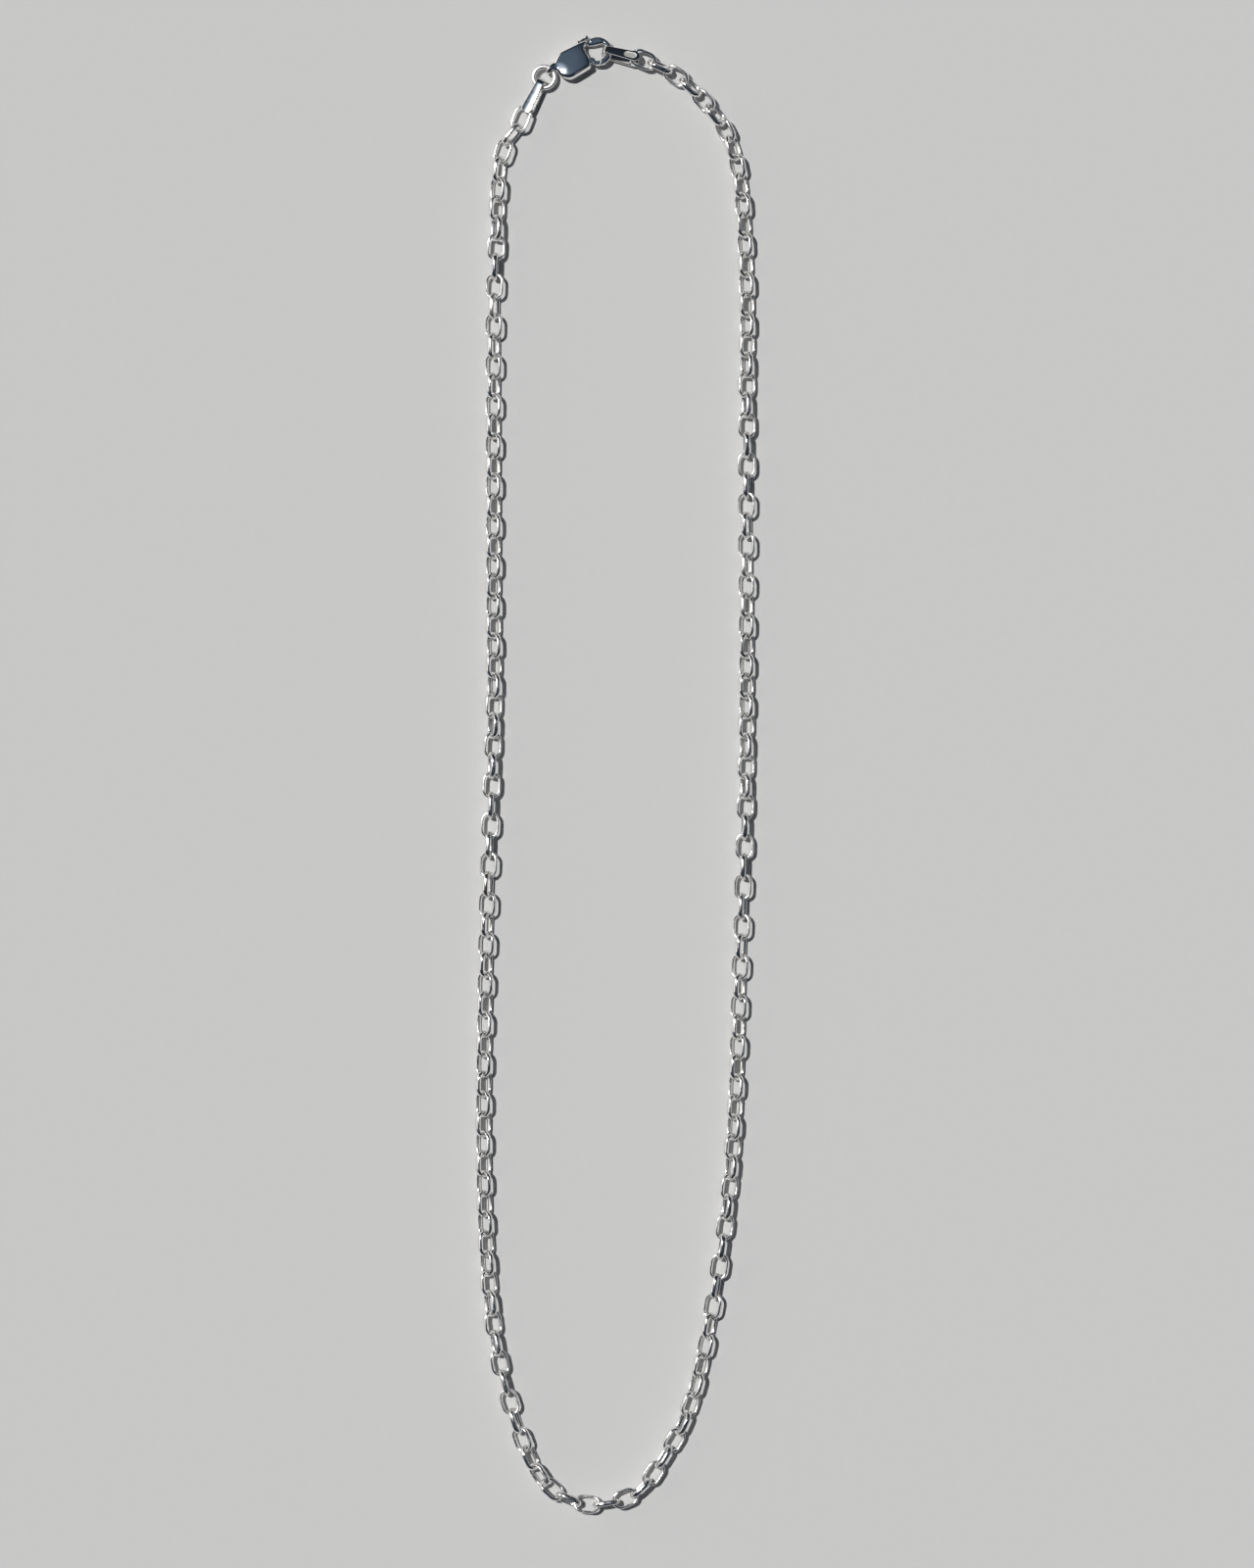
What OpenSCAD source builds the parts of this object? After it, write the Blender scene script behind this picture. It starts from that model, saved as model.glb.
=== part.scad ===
// Loop chain: a 50 cm oval belcher necklace with a lobster clasp, lying flat.
// Units are mm, +Z is up, +Y runs from the bottom of the loop to the clasp.

/* [Chain] */
// Number of links, the two soldered into the end tags counted
link_count = 151; // [100:1:180]
// Outside length of one link
link_l = 4.36; // [3.6:0.02:5]
// Outside width of one link
link_w = 2.95; // [2.4:0.05:3.5]
// Width of the band that a link is bent from
band_w = 0.85; // [0.5:0.05:1.2]
// Thickness of that band
band_t = 0.42; // [0.26:0.02:0.5]

/* [Clasp] */
// Angle of the clasp's length, anticlockwise from +X
clasp_turn = 21.6; // [0:0.1:45]
// Lean of the clasp towards its spine side
clasp_roll = 12; // [0:1:20]
// Thickness of the clasp's body in its middle
clasp_t = 2.2; // [2:0.1:3.5]
// Radius of the round belly
belly_r = 2.35; // [2:0.05:3]
// Outside radius of the hook's bow
hook_r = 2.4; // [2:0.05:3]
// Width of the hook's bar
hook_bar = 0.95; // [0.8:0.05:1.5]
// Height of the hook's bar
hook_h = 0.75; // [0.6:0.05:1.2]
// Opening angle of the lever, 0 shut
lever_open = 0; // [0:1:18]

/* [Jump ring] */
// Radius to the middle of the ring's wire
ring_r = 1.7; // [1.2:0.05:3]
// Wire diameter
ring_wire = 0.8; // [0.5:0.05:1.2]

/* [End tags] */
// Whole length of a folded tag
tag_l = 6.15; // [5:0.05:9]
// Width at the rounded end
tag_w = 1.75; // [1.5:0.05:3]
// Width at the fold
tag_fold_w = 1.3; // [1:0.05:2]
// Sheet thickness
tag_t = 0.3; // [0.2:0.05:0.5]
// Space between the two layers
tag_gap = 1.5; // [1:0.05:2]
// Depth of the stamped field
stamp_depth = 0.1; // [0:0.02:0.2]

/* [Hidden] */

silver = [0.82, 0.83, 0.85];
bright_silver = [0.9, 0.91, 0.93];

// Centreline of the chain, from the solder joint in the left tag to that in the right one: x, y
route = [
    [-14.5, 106.2],
    [-15.6, 103.4],
    [-17.4, 101.2],
    [-18.4, 98.4],
    [-18.8, 93.6],
    [-19.1, 84.3],
    [-19.4, 74.6],
    [-19.5, 60],
    [-19.5, 28],
    [-19.4, 15.5],
    [-19.7, 2.8],
    [-20.1, -9.8],
    [-20.5, -22.3],
    [-20.9, -38],
    [-21.1, -53.6],
    [-21, -66],
    [-20.6, -76],
    [-20.1, -83],
    [-19.3, -90],
    [-18, -96.6],
    [-16.2, -102.6],
    [-14.7, -106.9],
    [-12.9, -110.9],
    [-10.8, -113.9],
    [-8.3, -115.8],
    [-5.2, -116.8],
    [-2, -116.8],
    [0.8, -116.2],
    [3.2, -115.1],
    [5, -113.4],
    [6.5, -111.2],
    [8.1, -108.6],
    [9.9, -105.8],
    [11.2, -103],
    [12.4, -99.6],
    [13.6, -95.2],
    [15, -88.6],
    [16.5, -79.4],
    [17.7, -70.6],
    [18.7, -61],
    [19.4, -48.2],
    [19.9, -33.3],
    [20.4, -19.2],
    [20.8, -3.5],
    [21, 15],
    [21, 60],
    [21.1, 74.6],
    [20.8, 84.3],
    [20.3, 92.4],
    [19.6, 97.4],
    [18.4, 101.5],
    [16.8, 104.6],
    [15, 106.9],
    [13.1, 109],
    [10.8, 111.1],
    [8.2, 112.7],
    [5.8, 113.8],
    [3.2, 114.85]
];

// How tightly the chain is drawn out, as the pitch near a link: link number, pitch
draw_out = [
    [0, 2.95],
    [4, 3.1],
    [6, 3.08],
    [8, 3.08],
    [10, 3.19],
    [30, 3.18],
    [59, 3.18],
    [61, 3.21],
    [66, 3.2],
    [69, 3.12],
    [78, 3.1],
    [80, 3.2],
    [84, 3.22],
    [86, 3.2],
    [111, 3.2],
    [138, 3.2],
    [144, 3.04],
    [151, 2.86]
];

// How far the chain has twisted on its way round: link number, roll in degrees
twist = [
    [0, 12],
    [2, 24],
    [4, 38],
    [6, 57],
    [8, 90],
    [10, 109],
    [12, 118],
    [16, 127],
    [28, 138],
    [30, 149],
    [32, 158],
    [34, 170],
    [38, 193],
    [42, 210],
    [46, 223],
    [48, 225],
    [56, 225],
    [60, 238],
    [64, 262],
    [66, 280],
    [68, 303],
    [70, 324],
    [72, 343],
    [74, 357],
    [76, 367],
    [78, 373],
    [80, 384],
    [82, 396],
    [83, 403],
    [85, 421],
    [89, 460],
    [93, 480],
    [97, 497],
    [101, 508],
    [105, 522],
    [109, 541],
    [111, 557],
    [115, 578],
    [119, 588],
    [125, 612],
    [129, 638],
    [133, 665],
    [136, 675],
    [145, 680],
    [147, 688],
    [149, 700],
    [151, 715]
];

// First link of the right half
middle_link = ceil(link_count / 2);

// Facets asked for on small and large arcs
fine = 96;
coarse = 48;

// Share of its round ends' width that a taper's straight sides keep
snug = 0.985;

// Bevels on the band's outer and inner edges: off its thickness, off its width
bevel_out = [0.13, 0.18];
bevel_in = [0.09, 0.14];

// Band section's upper corners from the outer to the inner face, measured from its middle
band_corners = [
    [band_t / 2, band_w / 2 - bevel_out.y],
    [band_t / 2 - bevel_out.x, band_w / 2],
    [bevel_in.x - band_t / 2, band_w / 2],
    [-band_t / 2, band_w / 2 - bevel_in.y]
];

// Link oval: half of its straight sides, and the middle of the band in its round ends
end_x = (link_l - link_w) / 2;
end_mid_r = (link_w - band_t) / 2;

// Steps to each stretch between two route points
steps = 8;

// Clasp plan, measured from its tail along its length: belly, hook bow, mouth and pivot
belly = [3.05, -0.5];
bow = [8, -0.12];
mouth = [7.4, -0.15];
mouth_r = 1.4;
tail = [0.85, 0.05];
tail_r = 0.5;
pivot = [4.8, -0.6];
pivot_r = 0.8;
pin_r = 0.35;
gate_reach = 3.3;
gate_slim = 0.2;
wall = 0.55;
play = 0.1;
lever_h = 0.9;
slot_h = lever_h + 2 * play;
shell_end = 7.2;
dome_mid = [4.1, -0.3];
dome_r = 25;
hook_root = 125;
hook_bar_r = hook_r - hook_bar / 2;
inner_r = hook_r - hook_bar;
nib = [7.2, 2.7];
nib_heel = [5.75, 2.35];
nib_r = 0.36;

// Places on the surface
tail_at = [-10.33, 112.8];
ring_at = [-11.38, 111.5];
left_end_at = [-14.33, 105.73];
left_turn = -117;
left_roll = 14;
right_end_at = [3.85, 114.2];
right_turn = -13.5;
right_roll = -27;
clasp_z = 1.39;
ring_z = 1.3;
left_z = 1.3;
right_z = 1.54;
surface_gap = 0.08;
pin_gap = 0.35;
eye_r = 0.95;
eye_hole_r = 0.56;
eye_w = 0.85;
stamp_l = 2;
stamp_w = 1;
stamp_back = 1.6;
stamp_half = (stamp_l - stamp_w) / 2;

tag_round = tag_w / 2;
tag_fold_r = tag_gap / 2 + tag_t;
tag_flat = tag_l - tag_fold_r;

function step_of(i) = norm(route[i + 1] - route[i]);

function heading(i) =
    i == 0 ? (route[1] - route[0]) / step_of(0)
    : i == len(route) - 1 ? (route[i] - route[i - 1]) / step_of(i - 1)
    : (route[i + 1] - route[i - 1]) / (step_of(i - 1) + step_of(i));

function hermite(a, b, da, db, t) =
    a * (2 * t * t * t - 3 * t * t + 1)
    + da * (t * t * t - 2 * t * t + t)
    + b * (3 * t * t - 2 * t * t * t)
    + db * (t * t * t - t * t);

line = concat(
    [
        for (i = [0 : len(route) - 2], j = [0 : steps - 1])
            hermite(
                route[i],
                route[i + 1],
                heading(i) * step_of(i),
                heading(i + 1) * step_of(i),
                j / steps
            )
    ],
    [route[len(route) - 1]]
);

function running(list, i = 0, sum = 0) =
    i == len(list) ? [sum] : concat([sum], running(list, i + 1, sum + list[i]));

way = running([for (i = [0 : len(line) - 2]) norm(line[i + 1] - line[i])]);
way_x = [for (i = [0 : len(line) - 1]) [way[i], line[i].x]];
way_y = [for (i = [0 : len(line) - 1]) [way[i], line[i].y]];
drawn = running([for (k = [0 : link_count - 1]) lookup(k + 0.5, draw_out)]);
whole_way = way[len(way) - 1];

function roll_at(k) = lookup(k, twist);

// Height of a link's middle over its lowest point when it is rolled by a
function half_height(a) =
    max([for (c = band_corners) (end_mid_r + c.x) * abs(sin(a)) + c.y * abs(cos(a))]);

function lie_height(a) = max(half_height(a), half_height(a + 90)) + surface_gap;

// Where link k meets the one before it
function meet(k) =
    let (s = whole_way * drawn[k] / drawn[link_count])
        [lookup(s, way_x), lookup(s, way_y), lie_height(roll_at(k))];

module band_section(r) {
    translate([r, 0])
        polygon(concat(band_corners, [for (i = [3 : -1 : 0]) [band_corners[i].x, -band_corners[i].y]]));
}

// One link, its length along X and its band standing along Z
module link() {
    for (a = [0, 180])
        rotate([0, 0, a]) {
            translate([end_x, 0, 0])
                rotate([0, 0, -90])
                    rotate_extrude(angle = 180, $fn = fine)
                        band_section(end_mid_r);
            translate([-end_x, end_mid_r, 0])
                rotate([90, 0, 90])
                    linear_extrude(2 * end_x)
                        band_section(0);
        }
}

module link_in_place(k) {
    from = meet(k);
    to = meet(k + 1);
    run = to - from;
    translate((from + to) / 2)
        rotate([0, -atan2(run.z, norm([run.x, run.y])), atan2(run.y, run.x)])
            rotate([roll_at(k + 0.5) + 90 * k, 0, 0])
                link();
}

// A flat bar with two round ends of its own radii, from a to b
module taper(a, ra, b, rb) {
    along = (b - a) / norm(b - a);
    side = [-along.y, along.x];
    lean = (ra - rb) / norm(b - a);
    rise = sqrt(1 - lean * lean);
    up = along * lean + side * rise;
    down = along * lean - side * rise;
    translate(a)
        circle(ra, $fn = fine);
    translate(b)
        circle(rb, $fn = fine);
    polygon([
        a + up * ra * snug,
        a + down * ra * snug,
        b + down * rb * snug,
        b + up * rb * snug
    ]);
}

module clasp_frame() {
    translate([tail_at.x, tail_at.y, clasp_z])
        rotate([0, 0, clasp_turn])
            rotate([-clasp_roll, 0, 0])
                children();
}

module shell_plan() {
    difference() {
        union() {
            taper(tail, tail_r, belly, belly_r);
            taper(belly, belly_r, bow, hook_r);
        }
        translate(mouth)
            circle(mouth_r, $fn = fine);
        translate([shell_end, -belly_r - wall])
            square([2 * hook_r, 2 * (belly_r + wall)]);
        translate([mouth.x - mouth_r, -belly_r - wall])
            square([hook_r, belly_r]);
    }
}

// Cheeks, domed lengthwise and across
module shell_solid() {
    intersection() {
        linear_extrude(clasp_t + play, center = true)
            shell_plan();
        dome(0);
        dome(1);
    }
}

module dome(side) {
    mirror([0, 0, side])
        translate([dome_mid.x, dome_mid.y, clasp_t / 2 - dome_r])
            sphere(dome_r, $fn = 2 * fine);
}

// Hollow between the two cheeks, open at the mouth and through the spine for the thumb nib
module hollow() {
    linear_extrude(slot_h, center = true) {
        taper([3.2, belly.y], belly_r - wall - play, [5.4, -0.2], belly_r - wall - play);
        translate([4.3, 1])
            square([1.95, 2]);
    }
}

module hook_section() {
    for (s = [-1, 1])
        translate([hook_bar_r + s * (hook_bar - hook_h) / 2, 0])
            circle(hook_h / 2, $fn = fine);
    translate([hook_bar_r, 0])
        square([hook_bar - hook_h, hook_h], center = true);
}

module hook() {
    difference() {
        translate([bow.x, bow.y, 0])
            rotate([0, 0, -100])
                rotate_extrude(angle = 100 + hook_root, $fn = fine)
                    hook_section();
        translate([pivot.x, pivot.y, 0])
            intersection() {
                cylinder(h = clasp_t, r = gate_reach + play, center = true, $fn = fine);
                translate([0, -2 * hook_r, 0])
                    cube([4 * hook_r, 4 * hook_r, clasp_t], center = true);
            }
    }
}

module clasp_body() {
    color(silver)
        difference() {
            union() {
                clasp_frame() {
                    difference() {
                        shell_solid();
                        hollow();
                    }
                    hook();
                    translate([pivot.x, pivot.y, 0])
                        cylinder(h = slot_h + wall, r = pin_r, center = true, $fn = coarse);
                }
                eye_round(eye_w, eye_r);
            }
            eye_round(2 * eye_r, eye_hole_r);
            ring_wire_round(ring_wire / 2 + play);
        }
}

// Round bar along the jump ring's wire, through the clasp's tail
module eye_round(h, r) {
    translate([tail_at.x, tail_at.y, ring_z])
        rotate([0, 0, ring_side()])
            rotate([90, 0, 0])
                cylinder(h = h, r = r, center = true, $fn = fine);
}

// Direction from the ring's centre to the clasp's tail
function ring_side() = atan2(tail_at.y - ring_at.y, tail_at.x - ring_at.x);

module ring_wire_round(r) {
    translate([ring_at.x, ring_at.y, ring_z])
        rotate_extrude($fn = fine)
            translate([ring_r, 0])
                circle(r, $fn = coarse);
}

module jump_ring() {
    color(bright_silver)
        ring_wire_round(ring_wire / 2);
}

module lever_plan() {
    difference() {
        union() {
            translate(pivot)
                circle(pivot_r, $fn = fine);
            taper(pivot, pivot_r, [6.75, -1.3], 0.42);
            taper(pivot + [0.1, 0.3], 0.45, nib_heel, 0.28);
            taper(nib_heel, 0.26, nib, nib_r);
            gate_plan();
        }
        translate(pivot)
            circle(pin_r + play, $fn = coarse);
    }
}

module gate_plan() {
    intersection() {
        difference() {
            translate(bow)
                circle(hook_r - 0.05, $fn = fine);
            translate(bow)
                circle(inner_r + gate_slim, $fn = fine);
        }
        translate([6.55, -3])
            square([3, 2]);
        translate(pivot)
            circle(gate_reach, $fn = fine);
    }
}

module clasp_lever() {
    color(bright_silver)
        clasp_frame()
            translate([pivot.x, pivot.y, 0])
                rotate([0, 0, lever_open])
                    translate([-pivot.x, -pivot.y, 0])
                        linear_extrude(lever_h, center = true)
                            lever_plan();
}

// Tag with its fold's axis on Y at the origin and its round end towards +X
module tag_strip(stamped) {
    difference() {
        union() {
            for (s = [0, 1])
                mirror([0, 0, s])
                    translate([0, 0, tag_gap / 2])
                        linear_extrude(tag_t)
                            tag_plan();
            rotate([90, 90, 0])
                rotate([0, 0, 180])
                    rotate_extrude(angle = 180, $fn = fine)
                        translate([tag_gap / 2, -tag_fold_w / 2])
                            square([tag_t, tag_fold_w]);
        }
        if (stamped)
            translate([tag_flat - stamp_back, 0, tag_fold_r - stamp_depth])
                linear_extrude(2 * stamp_depth)
                    taper([-stamp_half, 0], stamp_w / 2, [stamp_half, 0], stamp_w / 2);
    }
}

module tag_plan() {
    end_mid = tag_flat - tag_round;
    polygon([
        [0, -tag_fold_w / 2],
        [end_mid, -tag_round],
        [end_mid, tag_round],
        [0, tag_fold_w / 2]
    ]);
    translate([end_mid, 0])
        circle(tag_round, $fn = fine);
}

module tag_in_place(at, z, turn, roll, stamped) {
    translate([at.x, at.y, z])
        rotate([0, 0, turn])
            rotate([roll, 0, 0])
                translate([-tag_flat, 0, 0])
                    tag_strip(stamped);
}

// Solder between the layers, through the end wall of a link
module solder(k, back, z, turn, roll) {
    inner = meet(k);
    outer = meet(k + back);
    away = (inner - outer) / norm(inner - outer);
    at = inner + away * pin_gap;
    translate([at.x, at.y, z])
        rotate([0, 0, turn])
            rotate([roll, 0, 0])
                cylinder(h = tag_gap + tag_t, r = pin_r, center = true, $fn = coarse);
}

module end_tag_left() {
    color(bright_silver)
        union() {
            tag_in_place(left_end_at, left_z, left_turn, left_roll, false);
            solder(0, 1, left_z, left_turn, left_roll);
            link_in_place(0);
        }
}

module end_tag_right() {
    color(bright_silver)
        union() {
            tag_in_place(right_end_at, right_z, right_turn, right_roll, true);
            solder(link_count, -1, right_z, right_turn, right_roll);
            link_in_place(link_count - 1);
        }
}

module chain_left() {
    color(silver)
        for (k = [1 : middle_link - 1])
            link_in_place(k);
}

module chain_right() {
    color(silver)
        for (k = [middle_link : link_count - 2])
            link_in_place(k);
}

clasp_body();
clasp_lever();
jump_ring();
end_tag_left();
end_tag_right();
chain_left();
chain_right();
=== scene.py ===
# %% [markdown]
# # Loop chain
# The object is a 50 cm silver necklace that lies flat and closed: 151 oval links, two folded end
# tags, a jump ring and a lobster clasp. The solids come packed from the CAD model. Here each of them
# gets the form and the finish that the eye expects of polished silver.

# %% Load the frame
import math

import bpy
import numpy as np
from mathutils import Matrix, Vector


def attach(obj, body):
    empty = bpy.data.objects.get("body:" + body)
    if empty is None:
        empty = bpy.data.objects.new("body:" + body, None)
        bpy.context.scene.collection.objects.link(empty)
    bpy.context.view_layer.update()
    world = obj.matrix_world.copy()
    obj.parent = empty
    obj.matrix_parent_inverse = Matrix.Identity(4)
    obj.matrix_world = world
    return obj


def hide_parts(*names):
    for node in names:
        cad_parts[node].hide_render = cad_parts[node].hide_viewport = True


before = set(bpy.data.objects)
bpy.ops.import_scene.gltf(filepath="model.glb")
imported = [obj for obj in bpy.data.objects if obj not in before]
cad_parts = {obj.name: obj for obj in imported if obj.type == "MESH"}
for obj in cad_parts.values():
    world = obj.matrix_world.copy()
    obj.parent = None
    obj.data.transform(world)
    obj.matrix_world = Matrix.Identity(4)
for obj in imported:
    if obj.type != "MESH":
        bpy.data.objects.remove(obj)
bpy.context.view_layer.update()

MM = 0.001
scene = bpy.context.scene

# %% [markdown]
# ## Camera
# The chain was seen from straight above. A long lens from one metre away keeps every link seen from
# the top, also at the frame's edges. The lens follows from the height of the view on the surface.

# %% Camera
VIEW_MIDDLE = (1.884, -1.57)
VIEW_HEIGHT = 251.2
EYE_HEIGHT = 1000
FILM_HEIGHT = 36


def add_object(name, data):
    """A new object in the scene."""
    made = bpy.data.objects.new(name, data)
    scene.collection.objects.link(made)
    return made


camera_data = bpy.data.cameras.new("camera")
camera_data.sensor_fit = "VERTICAL"
camera_data.sensor_height = FILM_HEIGHT
camera_data.lens = FILM_HEIGHT * EYE_HEIGHT / VIEW_HEIGHT
camera_data.clip_start = 0.05
camera_data.clip_end = 20
camera = add_object("camera", camera_data)
camera.location = (VIEW_MIDDLE[0] * MM, VIEW_MIDDLE[1] * MM, EYE_HEIGHT * MM)
scene.camera = camera
print("lens %.1f mm, %.0f mm above the surface" % (camera_data.lens, EYE_HEIGHT))

# %% [markdown]
# ## Light
# Silver has hardly a colour of its own: it shows the room. So the room matters more than the paint.
# One small bright lamp from the upper left draws the short, crisp shadows and the white glints. The
# room above is dim and bluish. Low on the left stand two white windows: rounded edges mirror them as
# white lines. A world shader makes that room from the direction alone, so no picture is needed.

# %% Lamp
LAMP_LEAN = (-0.377, 0.259)
LAMP_POWER = 2.96
LAMP_WIDTH = 1.2
LAMP_COLOUR = (1.0, 0.99, 0.975)

lamp_data = bpy.data.lights.new("lamp", "SUN")
lamp_data.energy = LAMP_POWER
lamp_data.angle = math.radians(LAMP_WIDTH)
lamp_data.color = LAMP_COLOUR
lamp = add_object("lamp", lamp_data)
lamp.rotation_euler = Vector((*LAMP_LEAN, 1)).to_track_quat("Z", "Y").to_euler()
print("lamp %.0f degrees above the surface" % math.degrees(math.atan(1 / math.hypot(*LAMP_LEAN))))

# %% Room colours
ROOM_TOP = (0.018, 0.027, 0.044)
ROOM_WALL = (0.015, 0.014, 0.013)
WALL_END, TOP_START = 0.05, 0.85


def soft_step(tree, value, low, high):
    """0 below low and 1 above high, with a smooth passage."""
    node = tree.nodes.new("ShaderNodeMapRange")
    node.interpolation_type = "SMOOTHSTEP"
    node.inputs["From Min"].default_value = low
    node.inputs["From Max"].default_value = high
    tree.links.new(value, node.inputs["Value"])
    return node.outputs["Result"]


def mix_colours(tree, first, second, factor, blend="MIX"):
    """Two colours mixed by a factor. Each is a colour or the socket that gives one."""
    node = tree.nodes.new("ShaderNodeMix")
    node.data_type = "RGBA"
    node.blend_type = blend
    for name, colour in (("A", first), ("B", second)):
        if isinstance(colour, bpy.types.NodeSocket):
            tree.links.new(colour, node.inputs[name])
        else:
            node.inputs[name].default_value = (*colour, 1)
    tree.links.new(factor, node.inputs["Factor"])
    return node.outputs["Result"]


world = bpy.data.worlds.new("room")
scene.world = world
world.use_nodes = True
room = world.node_tree
room.nodes.clear()
towards = room.nodes.new("ShaderNodeTexCoord").outputs["Generated"]
height = room.nodes.new("ShaderNodeSeparateXYZ")
room.links.new(towards, height.inputs[0])
colour = mix_colours(room, ROOM_WALL, ROOM_TOP, soft_step(room, height.outputs["Z"], WALL_END, TOP_START))
print("the wall ends %.0f degrees up" % math.degrees(math.asin(WALL_END)))

# %% Bright patches in the room
PATCHES = {
    # towards x, y, z; half angle in degrees; softness of its edge; colour
    "window": (-0.80, 0.47, 0.33, 19, 0.15, (1.26, 1.21, 1.14)),
    "second window": (-0.97, -0.04, 0.30, 15, 0.2, (1.1, 1.06, 1.0)),
    "glow round the lamp": (-0.30, 0.36, 0.88, 14, 0.6, (0.055, 0.075, 0.097)),
    "halo of the lamp": (-0.39, 0.24, 0.88, 6, 0.5, (0.26, 0.32, 0.38)),
    "pale patch at the front": (0.30, -0.42, 0.86, 5, 0.3, (0.30, 0.32, 0.36)),
    "pale patch on the right": (0.80, 0.10, 0.50, 9, 0.3, (0.45, 0.47, 0.5)),
}

for x, y, z, half, soft, light in PATCHES.values():
    facing = room.nodes.new("ShaderNodeVectorMath")
    facing.operation = "DOT_PRODUCT"
    size = math.sqrt(x * x + y * y + z * z)
    facing.inputs[1].default_value = (x / size, y / size, z / size)
    room.links.new(towards, facing.inputs[0])
    outer, inner = (math.cos(math.radians(half * share)) for share in (1 + soft, 1 - soft))
    patch = soft_step(room, facing.outputs["Value"], outer, inner)
    colour = mix_colours(room, colour, light, patch, "ADD")
glow = room.nodes.new("ShaderNodeBackground")
room.links.new(colour, glow.inputs["Color"])
out = room.nodes.new("ShaderNodeOutputWorld")
room.links.new(glow.outputs[0], out.inputs["Surface"])
scene.view_settings.view_transform = "Standard"
print("bright patches:", list(PATCHES))

# %% [markdown]
# ## Surface
# The chain lies on a plain pale board, wide enough to fill every view. It is a stage object: it is
# no part of the necklace, but the undersides of the links mirror it, so it needs its true brightness.

# %% Board
BOARD_HALF = 3
BOARD_GREY = 0.6
FLECKS = 900
FLECK_DARK = (0.99, 0.99, 0.985)
FLECK_LIGHT = (1.01, 1.01, 1.005)


def own_place(tree):
    """The place on the piece itself, so that a pattern moves with it."""
    return tree.nodes.new("ShaderNodeTexCoord").outputs["Object"]


def noise(tree, vector, scale, detail=2.0, stretch=None, turn=(0, 0, 0)):
    """Noise on object coordinates, in features per metre."""
    if stretch:
        mapping = tree.nodes.new("ShaderNodeMapping")
        mapping.inputs["Scale"].default_value = stretch
        mapping.inputs["Rotation"].default_value = turn
        tree.links.new(vector, mapping.inputs["Vector"])
        vector = mapping.outputs["Vector"]
    node = tree.nodes.new("ShaderNodeTexNoise")
    node.inputs["Scale"].default_value = scale
    node.inputs["Detail"].default_value = detail
    tree.links.new(vector, node.inputs["Vector"])
    return node.outputs["Fac"]


board_mesh = bpy.data.meshes.new("board")
board_corners = [(x * BOARD_HALF, y * BOARD_HALF, 0) for x, y in ((-1, -1), (1, -1), (1, 1), (-1, 1))]
board_mesh.from_pydata(board_corners, [], [(0, 1, 2, 3)])
board = add_object("board", board_mesh)
board_paint = bpy.data.materials.new("pale board")
board_paint.use_nodes = True
board_tree = board_paint.node_tree
board_face = board_tree.nodes["Principled BSDF"]
board_face.inputs["Roughness"].default_value = 0.85
board_face.inputs["Specular IOR Level"].default_value = 0.1
fleck = noise(board_tree, own_place(board_tree), FLECKS)
darker, lighter = ([BOARD_GREY * share for share in tint] for tint in (FLECK_DARK, FLECK_LIGHT))
board_tree.links.new(mix_colours(board_tree, darker, lighter, fleck), board_face.inputs["Base Color"])
board_mesh.materials.append(board_paint)
print("board %.1f m wide" % (2 * BOARD_HALF))

# %% [markdown]
# ## Silver
# Worn silver is bright, but never an even mirror. Under a loupe it has soft dents from tumbling, fine
# hairline scratches, and a slightly duller, warmer tone in places. A function builds that finish from
# noise on object coordinates, so the same metal can be made more or less worn for each piece.

# %% Silver finish
BRIGHT = (0.97, 0.965, 0.955)
DULL = (0.86, 0.855, 0.84)
FROSTED = (0.93, 0.915, 0.88)
BLOTCHES, MATT_SPOTS, DENTS, HAIRS = 420, 1300, 2300, 3500
HAIR_STRETCH = (1, 0.06, 1)
HAIR_TURN = (0.3, 0.2, 0.65)
MICRON = 1e-6


def between(tree, value, low, high, start=0.3, end=0.7):
    """Maps a noise value to a range."""
    node = tree.nodes.new("ShaderNodeMapRange")
    node.inputs["From Min"].default_value = start
    node.inputs["From Max"].default_value = end
    node.inputs["To Min"].default_value = low
    node.inputs["To Max"].default_value = high
    tree.links.new(value, node.inputs["Value"])
    return node.outputs["Result"]


def uneven(tree, height, distance, below=None):
    """A normal that follows a height, given in thousandths of a millimetre."""
    node = tree.nodes.new("ShaderNodeBump")
    node.inputs["Distance"].default_value = distance * MICRON
    tree.links.new(height, node.inputs["Height"])
    if below:
        tree.links.new(below, node.inputs["Normal"])
    return node.outputs["Normal"]


def vary(tree, value, varied):
    """The value made up to a share smaller or larger by the piece's own "polish"."""
    own = tree.nodes.new("ShaderNodeAttribute")
    own.attribute_name = "polish"
    product = tree.nodes.new("ShaderNodeMath")
    product.operation = "MULTIPLY"
    tree.links.new(value, product.inputs[0])
    tree.links.new(between(tree, own.outputs["Fac"], 1 - varied, 1 + varied, 0, 1), product.inputs[1])
    return product.outputs[0]


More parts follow.
